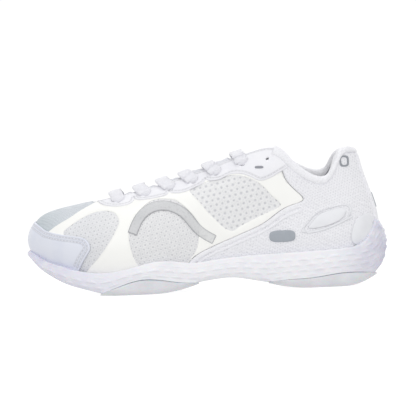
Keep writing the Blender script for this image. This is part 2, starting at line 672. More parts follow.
def band_look():
    """Thin grey film that lets the pale mesh through."""
    look = Look("wave_band", srgb(229, 230, 232), 0.3, Alpha=0.7, Coat_Weight=0.3)
    look.tint(gradient_along(look, "X"), srgb(238, 239, 240), -0.035, 0.004)
    look.tint(look.noise(1.4, 2), srgb(212, 213, 216), 0.5, 0.8)
    look.tint(look.attribute("pit"), srgb(184, 185, 189))
    return look.rise(look.noise(1.0), 0.03).done()


def lace_look():
    look = Look("lace_textile", srgb(244, 244, 249), 0.7, Sheen_Weight=0.3)
    uv = look.node("ShaderNodeUVMap").outputs["UV"]
    parts = look.node("ShaderNodeSeparateXYZ")
    look.link(uv, parts.inputs[0])
    slant = look.maths("MULTIPLY", look.maths("ABSOLUTE", parts.outputs["Y"]), 1.0)
    phase = look.maths("MULTIPLY", look.maths("ADD", parts.outputs["X"], slant), 2 * math.pi / 1.1)
    braid = look.maths("SINE", phase)
    look.tint(braid, srgb(230, 230, 237), 0.2, -1.0)
    return look.rise(braid, 0.07).rise(look.noise(0.35), 0.03).done()


def stiffener_look():
    look = Look("stiffener", srgb(222, 220, 214), 0.8)
    look.tint(look.noise(1.5, 3), srgb(204, 202, 196), 0.4, 0.7)
    return look.rise(look.noise(0.6, 3), 0.06).done()


foam, rubber, film_mat = foam_look(), rubber_look(), film_look()
open_mesh = mesh_look("open_mesh", srgb(253, 253, 254), srgb(205, 206, 211), toe=srgb(236, 237, 240),
                      toe_from=-0.055, toe_to=-0.085)
backing = mesh_look("mesh_backing", srgb(232, 233, 237), srgb(190, 191, 197))
toe_mesh = mesh_look("toe_box_mesh", srgb(229, 234, 240), srgb(176, 183, 192), 0.45,
                     toe=srgb(205, 214, 219))
cap_mat = synthetic_look("toe_cap_synthetic", srgb(231, 234, 244), srgb(224, 228, 241))
stay_mat = synthetic_look("eyestay_synthetic", srgb(243, 243, 247), srgb(237, 237, 243))
heel_knit = knit_look("heel_textile", srgb(246, 246, 250), srgb(196, 197, 204))
lining_knit = knit_look("lining", srgb(168, 169, 176), srgb(120, 121, 130), 1.2, 0.5)
roll_knit = knit_look("collar_roll", srgb(247, 247, 251), srgb(200, 201, 208), 1.2, 0.35)
tongue_knit = knit_look("tongue_textile", srgb(232, 233, 239), srgb(168, 170, 178), 1.5, 0.3)
sock_knit = knit_look("sock_textile", srgb(236, 236, 240), srgb(196, 196, 202), 1.0, 0.4)
pad_mat = moulded_look("moulded_pad", srgb(238, 239, 243))
badge_mat = moulded_look("badge", srgb(166, 172, 180), 0.3)
dark_badge = moulded_look("heel_badge", srgb(150, 154, 161), 0.35)
thread = moulded_look("thread", srgb(240, 240, 246), 0.6)
tack_mat = moulded_look("bartack", srgb(150, 152, 160), 0.6)
aglet_mat = moulded_look("aglet", srgb(236, 236, 240), 0.2)
band_mat, lace_mat, stiff_mat = band_look(), lace_look(), stiffener_look()


# ---------------------------------------------------------------- camera, floor and light
def studio():
    scene = bpy.context.scene
    scene.view_settings.view_transform = "Standard"
    world = bpy.data.worlds.new("studio")
    world.use_nodes = True
    world.node_tree.nodes["Background"].inputs[0].default_value = (1, 1, 1, 1)
    world.node_tree.nodes["Background"].inputs[1].default_value = 0.72
    scene.world = world

    for name, base, glow, where, turn in (("floor", 0.3, 0.82, (0, 0, 0), 0),
                                          ("backdrop", 0.0, 1.05, (0, 12, 0), math.pi / 2)):
        paint = bpy.data.materials.new(name)
        paint.use_nodes = True
        shader = paint.node_tree.nodes["Principled BSDF"]
        shader.inputs["Base Color"].default_value = (base, base, base, 1)
        shader.inputs["Roughness"].default_value = 1.0
        shader.inputs["Specular IOR Level"].default_value = 0.0
        shader.inputs["Emission Color"].default_value = (1, 1, 1, 1)
        shader.inputs["Emission Strength"].default_value = glow
        bpy.ops.mesh.primitive_plane_add(size=30, location=where, rotation=(turn, 0, 0))
        plane = bpy.context.object
        plane.name = name
        plane.data.materials.append(paint)
        plane.visible_diffuse = False
    lights = [
        ("front", (-0.6, -1.6, 1.2), 1.6, 9.5, (0, 0, 0.05)),
        ("front_right", (1.3, -1.2, 0.6), 1.2, 3, (0, 0, 0.05)),
        ("top", (0.1, 0.2, 2.0), 1.2, 6, (0, 0, 0.0)),
        ("back", (0.2, 1.6, 1.0), 1.6, 4, (0, 0, 0.05)),
    ]
    for name, where, size, power, target in lights:
        lamp = bpy.data.lights.new(name, "AREA")
        lamp.size, lamp.energy = size, power
        holder = bpy.data.objects.new(name, lamp)
        holder.location = where
        aim = Vector(target) - Vector(where)
        holder.rotation_euler = aim.to_track_quat("-Z", "Y").to_euler()
        scene.collection.objects.link(holder)
        holder.visible_camera = False


VIEW_WIDTH, MIDDLE_X, MIDDLE_Z = 0.3071, 0.0023, 0.0607  # metres: what the view takes in, and its middle


def camera():
    """Nearly level, square on to the lateral side, rolled a little so that the toe sits lower."""
    distance, roll = 2.0, math.radians(-2.29)
    data = bpy.data.cameras.new("camera")
    data.sensor_width = 36
    data.lens = data.sensor_width * distance / VIEW_WIDTH
    lens = bpy.data.objects.new("camera", data)
    level = Matrix.Rotation(math.pi / 2, 4, "X")
    place = Matrix.Translation((MIDDLE_X, -distance, MIDDLE_Z))
    lens.matrix_world = place @ level @ Matrix.Rotation(roll, 4, "Z")
    bpy.context.scene.collection.objects.link(lens)
    bpy.context.scene.camera = lens


# ---------------------------------------------------------------- sole unit
def height_at(profile, x):
    xs, zs = np.transpose(profile)
    return spline(xs, zs, np.clip(x, xs[0], xs[-1]))


def sole_outline(s, grow, low=0.11, rise=0.1):
    """Places round the skin at rim height in plan, moved out by grow, and the outward directions."""
    t = low + rise * (1 - np.cos(2 * math.pi * s / ROUND)) / 2
    step = 0.02
    along = (wall(s + step, t) - wall(s - step, t))[:, :2]
    out = np.stack([along[:, 1], -along[:, 0]], axis=1)
    out /= np.linalg.norm(out, axis=1, keepdims=True)
    grow = spline(range(HEEL + 1), grow, np.minimum(s, ROUND - s)) if np.ndim(grow) else grow
    return wall(s, t)[:, :2] + out * np.reshape(grow, (-1, 1)), out


def even_stations(count):
    """Stations round the foot that are evenly spaced along the sole's edge."""
    s = np.linspace(0, ROUND, 721)
    place, _ = sole_outline(s, 5.0)
    run = run_along(place)
    return np.interp(np.linspace(0, run[-1], count, endpoint=False), run, s), run[-1]


def crescents(run, z):
    """Staggered rows of small raised crescents on the midsole wall."""
    row_pitch, pitch, half_length, half_height = 3.9, 11.5, 4.3, 1.05
    row = np.round(z / row_pitch)
    across = ((run / pitch + 0.5 * (row % 2)) % 1.0 - 0.5) * pitch
    up = z - row * row_pitch + 0.045 * across**2 - 0.4
    bump = 1 - (across / half_length) ** 2 - (up / half_height) ** 2
    return np.sqrt(np.maximum(bump, 0))


def under_side(x):
    """The height of the foam's underside, and how far it sits on a rubber pad there, 0 to 1."""
    low, padded = height_at(BELLY, x), np.zeros(len(x))
    for pad in (FORE_PAD, HEEL_PAD):
        ends = np.clip(np.minimum(x - pad[0][0], pad[-1][0] - x) / 2, 0, 1)
        low = np.where(ends > 0, np.maximum(low, height_at(pad, x)), low)
        padded = np.maximum(padded, ends)
    return low, padded


# The wall's rounding at its foot and rim, and how far it tucks in below.
FOOT_ROUND, RIM_ROUND, TUCK = 5.0, 1.3, 2.6
BUMP_HEIGHT, BELLY_OUT = 0.75, 0.9
LEDGE = ((0.2, 0.1), (0.6, 0.25), (1.0, 0.6), (1.05, 3.5))  # share of the way to the upper, and drop
UNDER_RINGS = (0.06, 0.18, 0.35, 0.6, 0.85, 1.0)


def midsole():
    """The foam cup: rings from the middle of its underside, up the bumpy wall and in over the rim."""
    count, rows = 720, 46
    s, length = even_stations(count)
    place, out = sole_outline(s, np.array(SOLE_WALL) + WALL_GAP)
    top = height_at(RIM, place[:, 0])
    bottom, padded = under_side(place[:, 0])
    run = np.arange(count) / count * length
    middle = (top + bottom) / 2
    lean = 4.2 * np.clip((place[:, 0] - 100) / 32, 0, 1) ** 2 + 0.5
    rings, marks = [], []
    tall = top - bottom
    for h in np.linspace(0, 1, rows):
        z = bottom + tall * h
        foot = np.clip(1 - (z - bottom) / FOOT_ROUND, 0, 1)
        head = np.clip(1 - (top - z) / RIM_ROUND, 0, 1)
        move = -TUCK * (1 - padded) * (1 - np.sqrt(1 - foot**2))
        move = move - 1.0 * (1 - np.sqrt(1 - np.minimum(head, 0.98) ** 2))
        move = move - lean * np.clip((z - bottom) / np.maximum(tall, 1), 0, 1) ** 2.5
        move = move + BELLY_OUT * np.sin(math.pi * h) ** 2
        fade = np.clip((top - z - 2.6) / 2.0, 0, 1) * np.clip((z - bottom - 1.0) / 1.5, 0, 1)
        bump = crescents(run, z - middle) * fade
        move = move + BUMP_HEIGHT * bump
        rings.append(np.column_stack([place + out * move[:, None], z]))
        marks.append(bump)
    low, high = np.zeros(count), np.full(count, 0.6)
    for _ in range(24):
        half = (low + high) / 2
        under = wall(s, half)[:, 2] < top
        low, high = np.where(under, half, low), np.where(under, high, half)
    inner = skin(s, low, -0.3)[:, :2]
    for share, sink in LEDGE:
        ledge = (place + out * (-1.0 - lean)[:, None]) * (1 - share) + inner * share
        rings.append(np.column_stack([ledge, top - sink]))
        marks.append(np.zeros(count))
    below = []
    for share in UNDER_RINGS:
        line_in = place + out * (-TUCK * (1 - padded))[:, None]
        y = line_in[:, 1] * (1 - share)
        below.append(np.column_stack([line_in[:, 0], y, bottom]))
        marks.append(np.zeros(count))
    rings = below[::-1] + rings
    verts = np.concatenate(rings)
    faces = tube_faces(len(rings), count, caps=False)
    marks = np.concatenate(marks[-len(below):][::-1] + marks[: -len(below)])
    piece = new_mesh("midsole_foam", verts, [f[::-1] for f in faces], foam, values={"pit": marks})
    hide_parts("midsole")


def ground_line(pad, ground, x):
    """The underside of an outsole pad: flat on the ground and rising to its ends."""
    (x0, z0), (x1, z1) = pad[0], pad[-1]
    first = np.clip((ground[0] - x) / (ground[0] - x0), 0, 1)
    last = np.clip((x - ground[1]) / (x1 - ground[1]), 0, 1)
    return (z0 - 0.8) * first**2 + (z1 - 0.8) * last**2


SIDE_ROWS = np.array([0.12, 0.28, 0.46, 0.64, 0.8, 0.9, 0.95, 1.0])


def outsole_pad(name, node, pad, ground, groove_pitch):
    """A rubber pad with rounded edges, a bulging wall and a grooved underside."""
    s, _ = even_stations(1440)
    place, _ = sole_outline(s, np.array(SOLE_WALL) + WALL_GAP)
    half = len(s) // 2
    xs = np.arange(pad[0][0] + 0.4, pad[-1][0] - 0.3, 0.9)
    lateral = np.interp(xs, place[:half, 0], place[:half, 1])
    medial = np.interp(xs, place[half:, 0][::-1], place[half:, 1][::-1])
    top, low = height_at(pad, xs), ground_line(pad, ground, xs)
    across = np.linspace(-1, 1, 97)
    rings, seams = [], []
    for x, a, b, high, base in zip(xs, lateral, medial, top, low):
        middle, wide = (a + b) / 2, (b - a) / 2 - 0.1
        y = middle + wide * across
        edge = np.clip((abs(across) - 0.93) / 0.07, 0, 1)
        tall = max(high - base, 0.3)
        curl = min(3.0, tall * 0.8) * (1 - np.sqrt(np.maximum(1 - edge**2, 0)))
        zigzag = 2.2 * np.abs(((y / 9) % 2) - 1)
        groove = np.clip(1 - abs(((x + zigzag) % groove_pitch) - groove_pitch / 2) / 0.55, 0, 1)
        groove *= np.clip((0.9 - abs(across)) / 0.05, 0, 1) * np.clip((tall - 2.0) / 2, 0, 1)
        under = np.column_stack([np.full_like(y, x), y, base + curl + 0.9 * groove])
        side_z = under[-1, 2] + (high - under[-1, 2]) * SIDE_ROWS
        bulge = 0.5 * np.sin(math.pi * SIDE_ROWS) - 0.5 * (SIDE_ROWS > 0.93)
        right = np.column_stack([np.full(8, x), middle + wide + bulge, side_z])
        left = np.column_stack([np.full(8, x), middle - wide - bulge, side_z])[::-1]
        lid = np.column_stack([np.full(5, x), np.linspace(middle + wide, middle - wide, 7)[1:-1],
                               np.full(5, high)])
        rings.append(np.concatenate([under, right, lid, left]))
        seam = np.array([0] * 5 + [0, 1, 1])
        seams.append(np.concatenate([np.zeros(len(under)), seam, np.zeros(5), seam[::-1]]))
    verts = np.concatenate(rings)
    around = len(rings[0])
    piece = new_mesh(name, verts, [f[::-1] for f in tube_faces(len(rings), around)], rubber,
                     values={"seam": np.concatenate(seams)})
    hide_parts(node)


def sole_unit():
    midsole()
    outsole_pad("outsole_forefoot", "forefoot_outsole", FORE_PAD, FORE_GROUND, 8.0)
    outsole_pad("outsole_heel", "heel_outsole", HEEL_PAD, HEEL_GROUND, 8.0)


def insole_top():
    """The insole's fabric cover, cupped a little at its rim."""
    s, _ = even_stations(360)
    rim, _ = sole_outline(s, -4.1, low=0, rise=0)
    rings = []
    for share, up in ((0, -0.7), (0, 1.6), (0.04, 2.2), (0.1, 1.2), (0.2, 0.5), (0.35, 0.15), (0.55, 0),
                      (0.8, 0), (1.0, 0)):
        y = rim[:, 1] * (1 - share)
        rings.append(np.column_stack([rim[:, 0] * (1 - 0.02 * share), y,
                                      height_at(FLOOR, rim[:, 0]) + 6.1 + up]))
    piece = new_mesh("insole_cover_knit", np.concatenate(rings), tube_faces(len(rings), 360, caps=False),
                     sock_knit)
    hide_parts("insole_cover")


# ---------------------------------------------------------------- upper
def lattice(a, b, pitch):
    """Distance to the nearest point of a triangular lattice, and that point's own number."""
    row_height = pitch * math.sqrt(3) / 2
    best = np.full(a.shape, 1e9)
    mark = np.zeros(a.shape)
    for d in (0, 1):
        row = np.floor(b / row_height) + d
        shift = 0.5 * (row % 2)
        column = np.round(a / pitch - shift)
        gap = np.hypot(a - (column + shift) * pitch, b - row * row_height)
        mark = np.where(gap < best, (row * 57.3 + column * 17.7) % 7 / 7, mark)
        best = np.minimum(best, gap)
    return best, mark


def pores(pitch, radius, depth, ring, tilt=0.0, chart=None):
    """Round pits on a triangular lattice, each with a soft raised ring."""
    def detail(s, t, place, distance):
        a, b = (place[:, 0], place[:, 2]) if chart is None else chart(s, t, place)
        turn = math.radians(tilt)
        a, b = a * math.cos(turn) + b * math.sin(turn), b * math.cos(turn) - a * math.sin(turn)
        gap, mark = lattice(a, b, pitch)
        size = radius * (0.85 + 0.3 * mark)
        pit = np.clip(1.25 - gap / size, 0, 1) ** 0.8
        halo = np.exp(-(((gap - 1.55 * size) / (0.45 * size)) ** 2))
        ground = ease((gap - 2.0 * size) / (0.8 * size))
        return ring * halo - depth * pit, {"pit": np.maximum(pit, 0.4 * ground)}
    return detail


def eyelets_between(start, end, radius=EYELET_R):
    loops = []
    for x in ALL_EYELETS:
        s = station(x, EYELET_T)
        loops += [eyelet_loop(x, radius) * (side, 1) for side in (1, -1) if start < side * s < end]
    return loops


def rectangle(s0, s1, t0, t1):
    count = max(8, int(abs(s1 - s0) * 24))
    return np.concatenate([line(s0, t0, s1, t0, count), line(s1, t0, s1, t1), line(s1, t1, s0, t1, count),
                           line(s0, t1, s0, t0)])


def base_panels():
    """The mesh's backing, and the open mesh that shows in the film's windows and on the toe box."""
    for name, node, s0, s1 in (("vamp_backing", "vamp", -4.7, 4.7),
                               ("quarter_backing_lateral", "quarter_lateral", 4.71, 8.99),
                               ("quarter_backing_medial", "quarter_medial", -8.99, -4.71)):
        loops = [rectangle(s0, s1, 0.0, 1.0)] + eyelets_between(s0, s1, EYELET_R + 0.1)
        piece = overlay(name, loops, BACKING, backing, edge=0.7, step=2.4, rim_step=1.5)
        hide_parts(node)
    for side, word in SIDES:
        windows = [("front", FRONT_WINDOW, 3.3, 0.62), ("oval", OVAL_WINDOW, 3.4, 0.62),
                   ("rear", REAR_WINDOW, 4.3, 0.95)]
        for where, outline, pitch, radius in windows:
            middle = np.mean(outline, axis=0)
            grown = middle + (np.array(outline) - middle) * 1.05
            loop = mirrored([locate(smooth(grown))], side)
            piece = overlay(f"mesh_window_{where}_{word}", loop, WINDOW_MESH, open_mesh, edge=0.2, step=0.62,
                            detail=pores(pitch, radius, 0.45, 0.16, tilt=12 * side))


def toe_box():
    """The finer, darker mesh across the top of the toes, between the cap and the throat."""
    lateral = locate(smooth(FILM_FRONT, closed=False))
    front = np.linspace(lateral[0], (0.0, 0.535), 20)[::-1]
    edge = np.concatenate([front[:-1], lateral, [(1.0, 0.985), (0.0, 0.985)]])
    loop = np.concatenate([edge, edge[-2:0:-1] * (-1, 1)])
    ridge = wall(np.zeros(60), np.linspace(0.3, 1, 60))

    def chart(s, t, place):
        """Along the foot, and round it from the ridge of the toes."""
        drop = np.interp(place[:, 0], ridge[:, 0], ridge[:, 2]) - place[:, 2]
        return place[:, 0], np.sign(place[:, 1]) * np.hypot(place[:, 1], drop)

    piece = overlay("toe_box_mesh", [loop], TOE_MESH, toe_mesh, edge=0.25, step=0.7,
                    detail=pores(2.3, 0.45, 0.3, 0.08, chart=chart))


def film_loops():
    rear = locate(smooth(FILM_REAR, closed=False))
    rear[-1, 1] = 0.985
    front = locate(smooth(FILM_FRONT, closed=False))
    start, end = rear[0], rear[-1]
    throat = line(end[0], 0.985, station(-78, 0.985), 0.985, 60)
    bottom = line(0.9, 0.005, start[0], 0.005, 60)
    corner = line(front[0, 0], front[0, 1] - 0.02, 0.9, 0.03, 12)
    outer = np.concatenate([bottom, rear, throat, front[::-1], corner])
    return [outer] + [locate(smooth(w)) for w in (FRONT_WINDOW, OVAL_WINDOW, REAR_WINDOW)]


def both_sides(name, loops, layer, material, node=None, slot=None, only=(1, -1), **more):
    for side, word in SIDES:
        if side not in only:
            continue
        piece = overlay(f"{name}_{word}", mirrored(loops, side), layer, material, **more)
        if node:
            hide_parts(f"{node}_{word}")


def offset_path(path, distance):
    """An open (s, t) path moved sideways on the skin; positive is to its left."""
    path = np.asarray(path, float)
    scale = skin_scale(path)
    along = np.gradient(path, axis=0) * scale
    out = np.stack([-along[:, 1], along[:, 0]], axis=1)
    out /= np.linalg.norm(out, axis=1, keepdims=True) + 1e-12
    return path + out * distance / scale


def film():
    loops = film_loops()
    loops += [eyelet_loop(x, EYELET_R + 0.3) for x in ALL_EYELETS]
    both_sides("fused_film", loops, FILM, film_mat, "film_overlay", "fused_film", edge=0.42, step=2.2)


def cap_path():
    """The toe cap's free edge, from the lateral feather line over the toe to the medial one."""
    lateral = locate(smooth(CAP_EDGE, closed=False))
    lateral = lateral[lateral[:, 0] > 0.6]
    tip = smooth([lateral[-1], (0.42, 0.50), (0.0, 0.545)], closed=False, per=6)[1:]
    half = np.concatenate([lateral, tip])
    return np.concatenate([half, half[-2::-1] * (-1, 1)])


def toe_cap():
    path = cap_path()
    loop = np.concatenate([path, line(path[-1, 0], 0.004, path[0, 0], 0.004, 60)])
    rows = [offset_path(path, distance)[3:-3] for distance in (2.0, 4.2)]
    piece = overlay("toe_cap_skin", [loop], OVER_FILM, cap_mat, edge=0.8, step=0.9, detail=grooved(rows))
    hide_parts("toe_cap")
    stitches("toe_cap_stitches", rows, sum(OVER_FILM) - 0.12, thread)


def stay_loop():
    lower = locate(smooth(EYESTAY_EDGE, closed=False, per=5))
    lower[0, 1] = 0.993
    lower[-1, 1] = min(lower[-1, 1], 0.97)
    upper = line(5.55, 0.993, lower[0, 0], 0.993, 90)
    return np.concatenate([lower, upper]), lower


def eyestay():
    loop, lower = stay_loop()
    holes = [eyelet_loop(x) for x in ALL_EYELETS]
    rows = []
    for side in (1, -1):
        path = offset_path(lower[2:-2], 1.8) * (side, 1)
        rows += [path, line(1.95 * side, 0.975, 5.3 * side, 0.975, 80)]
    sunk = grooved(rows, 0.5)

    def dished(s, t, place, distance):
        """A soft hollow round each eyelet, and the groove of the stitches."""
        extra, marks = sunk(s, t, place, distance)
        for x in ALL_EYELETS:
            centre = wall(station(x, EYELET_T), EYELET_T) * (1, np.sign(place[:, 1].mean()) * -1, 1)
            gap = np.linalg.norm(place - centre, axis=1)
            extra -= 0.22 * np.exp(-((gap / 3.4) ** 2))
        return extra, marks

    both_sides("eyestay_skin", [loop] + holes, OVER_FILM, stay_mat, "eyestay", "eyestay_synthetic",
               edge=0.8, step=0.85, rim_step=0.8, detail=dished)
    stitches("eyestay_stitches", rows, sum(OVER_FILM) - 0.1, thread, pitch=2.5, length=1.7, width=0.45)


def heel_loop():
    seam = np.array(FILM_REAR) + (0.4, 0)
    front = locate(smooth(seam, closed=False))
    front[-1, 1] = 0.96
    top = line(front[-1, 0], 0.965, 8.985, 0.965, 60)
    back = line(8.985, 0.96, 8.985, 0.02)
    bottom = line(8.985, 0.01, front[0, 0], 0.01, 60)
    return np.concatenate([front, top, back, bottom]), front


def heel_textile():
    loop, front = heel_loop()

    def knit(s, t, place, distance):
        a, b = place[:, 0], place[:, 2]
        gap, _ = lattice(a * 0.94 + b * 0.34, b * 0.94 - a * 0.34, 2.1)
        pit = np.clip(1.15 - gap / 0.5, 0, 1)
        ribs = 0.12 * np.sin((b + 0.35 * a) * 2 * math.pi / 3.4) * (b < 62)
        return -0.22 * pit + ribs, {"pit": 0.7 * pit}

    both_sides("heel_textile_knit", [loop], HEEL_TEXTILE, heel_knit, "heel_textile", "heel_textile",
               edge=0.8, step=0.85, detail=knit)
    folds = []
    for side in (1, -1):
        for distance in (2.2, 5.6):
            folds.append(offset_path(front[:-10], -distance) * (side, 1))
    stitches("heel_textile_stitches", folds, sum(HEEL_TEXTILE), thread, pitch=2.6, length=1.9)


def folded_edge():
    """A raised double fold along the heel textile's front edge, up to the strap."""
    _, front = heel_loop()
    upto = front[:int(len(front) * 0.62)]
    for number, (a, b) in enumerate(((0.3, 3.4), (4.4, 6.6))):
        first, last = offset_path(upto, -a), offset_path(upto, -b)
        loop = np.concatenate([first, last[::-1]])
        keep = loop[:, 1] > 0.02
        both_sides(f"folded_edge_{number + 1}", [loop[keep]], FOLD, heel_knit, slot="heel_textile",
                   edge=0.6, step=1.2)


def band_loop(middle, width):
    points = smooth(middle, closed=False)
    along = np.gradient(points, axis=0)
    out = np.stack([-along[:, 1], along[:, 0]], axis=1) * width / 2
    out /= np.linalg.norm(along, axis=1, keepdims=True)
    return locate(np.concatenate([points + out, (points - out)[::-1]]))


def rounded_bar(x, z, length, height, power=0.6):
    """The outline of a bar with soft corners, seen from the side."""
    turn = np.linspace(0, 2 * math.pi, 48, endpoint=False)
    across, up = blunt(np.cos(turn), power), blunt(np.sin(turn), power)
    return np.stack([x + length / 2 * across, z + height / 2 * up], axis=1)


def small_overlays():
    crown_pad = lambda high: lambda s, t, place, d: (high * np.clip(d / 5, 0, 1) ** 0.7,
                                                     {"pit": np.clip(1 - d / 0.7, 0, 1)})
    both_sides("wave_band_film", [band_loop(WAVE, 7)], ON_FILM, band_mat, "wave_band", "wave_band",
               edge=0.25, step=0.8,
               detail=lambda s, t, place, d: (0 * s, {"pit": np.clip(1.3 - d / 0.8, 0, 1)}))
    ridge = [(73, 40), (82, 41), (91.7, 43.8), (99, 46.8), (106.8, 50.6)]
    both_sides("heel_ridge", [band_loop(ridge, 1.8)], RIDGE, pad_mat, slot="moulded_pad", edge=0.5,
               step=0.7, detail=lambda s, t, place, d: (0 * s, {"pit": np.clip(1 - d / 0.6, 0, 1)}))
    pad = smooth(THUMB_PAD)
    centre = pad.mean(0)
    grown = [centre + (pad - centre) * k for k in (1.34, 1.18)]
    both_sides("thumb_pad_ring", [locate(grown[0]), locate(grown[1])], PAD_RING, pad_mat,
               slot="moulded_pad", edge=0.5, step=0.7,
               detail=lambda s, t, place, d: (0 * s, {"pit": np.clip(1 - d / 0.8, 0, 1)}))
    both_sides("thumb_pad_moulded", [locate(pad)], ON_HEEL, pad_mat, "thumb_pad", "moulded_pad",
               step=1.3, detail=crown_pad(0.6))
    grip = locate(smooth(HEEL_GRIP))
    both_sides("heel_grip_moulded", [grip], ON_HEEL, pad_mat, "heel_grip", "moulded_pad", step=1.3,
               detail=crown_pad(0.9))
    badge = rounded_bar(*BADGE)
    both_sides("side_badge_moulded", [locate(badge)], ON_HEEL, badge_mat, only=(1,), slot="badge", step=0.9,
               detail=lambda s, t, place, d: (0.5 * np.clip(d / 3, 0, 1) - 0.5 * np.clip(
                   1 - abs(place[:, 0] - BADGE[0]) / 1.2, 0, 1), {}))
    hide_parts("side_badge")
    x, z, length, height = HEEL_BADGE
    ring = [locate(rounded_bar(x, z, length, height)), locate(rounded_bar(x, z, length - 2.4, height - 2.4))]
    both_sides("heel_badge_ring", ring, MARK_RING, dark_badge, only=(1,), slot="badge", step=0.6,
               rim_step=0.5, edge=0.4)
    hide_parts("heel_badge")
    bar = locate(rounded_bar(40.7, 88.3, 6.2, 1.9))
    both_sides("bartack", [bar], TACK, tack_mat, slot="eyestay_synthetic", step=0.6, rim_step=0.5)


def backstay():
    loop = rectangle(8.74, 9.26, 0.12, 0.965)
    piece = overlay("backstay_strip", [loop], BACKSTAY, heel_knit, step=1.2,
                    detail=lambda s, t, place, d: (0.5 * np.clip(d / 2.5, 0, 1), {}))
    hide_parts("backstay")
    bar = rectangle(8.9, 9.1, 0.4, 0.55)
    piece = overlay("heel_back_bar", [bar], BACK_BAR, badge_mat, step=0.8)


# ---------------------------------------------------------------- collar
COLLAR_START, COLLAR_END, COLLAR_SHEET = 5.2, 12.8, 0.5
# Each section's points: t, lift off the skin where the padding is thin and where it is full, and rise.
ROLL_SECTION = [
    (0.9, (1.0, 0.9), 0), (0.905, (1.8, 1.7), 0), (0.93, (1.9, 2.2), 0), (0.965, (1.8, 2.1), 0),
    (0.99, (1.5, 1.6), 0.2), (1.0, (0.9, 0.6), 0.7), (1.0, (0.0, -1.2), 1.0), (1.0, (-0.8, -3.4), 0.6),
    (0.99, (-1.4, -5.0), 0), (0.96, (-1.9, -6.1), 0), (0.93, (-2.0, -6.6), 0)]
LINING_SECTION = [
    (0.94, (-1.7, -6.3), 0), (0.9, (-2.1, -6.7), 0), (0.84, (-2.2, -6.6), 0), (0.76, (-2.2, -5.8), 0),
    (0.68, (-2.2, -4.6), 0), (0.6, (-2.2, -3.7), 0), (0.45, (-2.2, -3.5), 0), (0.25, (-2.2, -3.5), 0),
    (0.05, (-2.2, -3.5), 0)]


def roll_share(s):
    """How much of the collar's outside the roll covers: less at the back of the heel."""
    return 0.62 - 0.3 * ease((1.9 - abs(s - HEEL)) / 1.0)


def collar_section(s, steps, outside):
    """Points of the collar's section at each s, from the outside seam over the top and down inside."""
    full = ease((s - COLLAR_START) / 0.9) * ease((COLLAR_END - s) / 0.9)
    share = roll_share(s)
    rows = []
    for t, lift, up in steps:
        height = 1 - (1 - t) * share if outside and lift[1] > 0 else np.full_like(s, t)
        place, out, _, rise = skin_frame(s, height)
        thin, fat = lift
        fat = fat * (0.45 + 0.55 * share) if fat > 0 else fat
        lifted = place + out * (thin + (fat - thin) * full)[:, None]
        rows.append(lifted + rise * (up * (0.4 + 0.6 * full))[:, None])
    return rows


def collar():
    """The padded roll and the lining: two sheets round the ankle, closed on themselves."""
    s = np.linspace(COLLAR_START, COLLAR_END, 300)
    for name, steps, material, node, slot in (
            ("collar_roll", ROLL_SECTION, roll_knit, "collar_padding", "lining"),
            ("collar_lining_knit", LINING_SECTION, lining_knit, "collar_lining", "lining")):
        rows = collar_section(s, steps, name == "collar_roll")
        dense = spline(range(len(rows)), np.array(rows), np.linspace(0, len(rows) - 1, 6 * len(rows)))
        shift = np.cross(np.gradient(dense, axis=1), np.gradient(dense, axis=0))
        shift /= np.linalg.norm(shift, axis=-1, keepdims=True) + 1e-12
        back = (dense + shift * COLLAR_SHEET)[::-1]
        loopy = np.concatenate([dense, back])
        verts = loopy.transpose(1, 0, 2).reshape(-1, 3)
        around = loopy.shape[0]
        values = {"pit": np.zeros(len(verts))}
        piece = new_mesh(name, verts, tube_faces(len(s), around), material, values=values)
        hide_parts(node)
    s = np.linspace(5.35, 8.95, 160)
    below = np.column_stack([s, 1 - 0.115 * roll_share(s) - 0.006])
    seam = [below, below * (-1, 1)]
    stitches("collar_stitches", seam, 1.2, thread, pitch=2.6, length=1.8)


# ---------------------------------------------------------------- tongue and lace
def crown(x):
    xs, heights, _ = np.transpose(TONGUE_SHAPE)
    return spline(xs, heights, x)


def tongue_point(x, y, up=0.0):
    """A place on the tongue's top: an arch across the foot whose sides droop under the eyestays."""
    radius = np.interp(x, *np.transpose(TONGUE_ARCH))
    droop = DROOP * np.maximum(abs(y) - DROOP_FROM, 0) ** 2
    return np.stack([x + 0 * y, y, crown(x) - radius + np.sqrt(radius**2 - y**2) - droop + up], axis=-1)


def bar_middle(x):
    """Where along the shoe the lace's bar from an eyelet crosses the tongue."""
    return skin(station(x, EYELET_T) - 0.13, 1.0, 3.4)[0] - 1.2


def swell(x, across):
    """How far the tongue's padding rises between two bars of the lace."""
    bars = np.array([bar_middle(eyelet) for eyelet in EYELETS])
    between = ease((np.abs(bars - x).min() - 3.2) / 3.5) * (bars.min() < x < bars.max())
    return 1.5 * between * (1 - ease((abs(across) - 0.3) / 0.35))


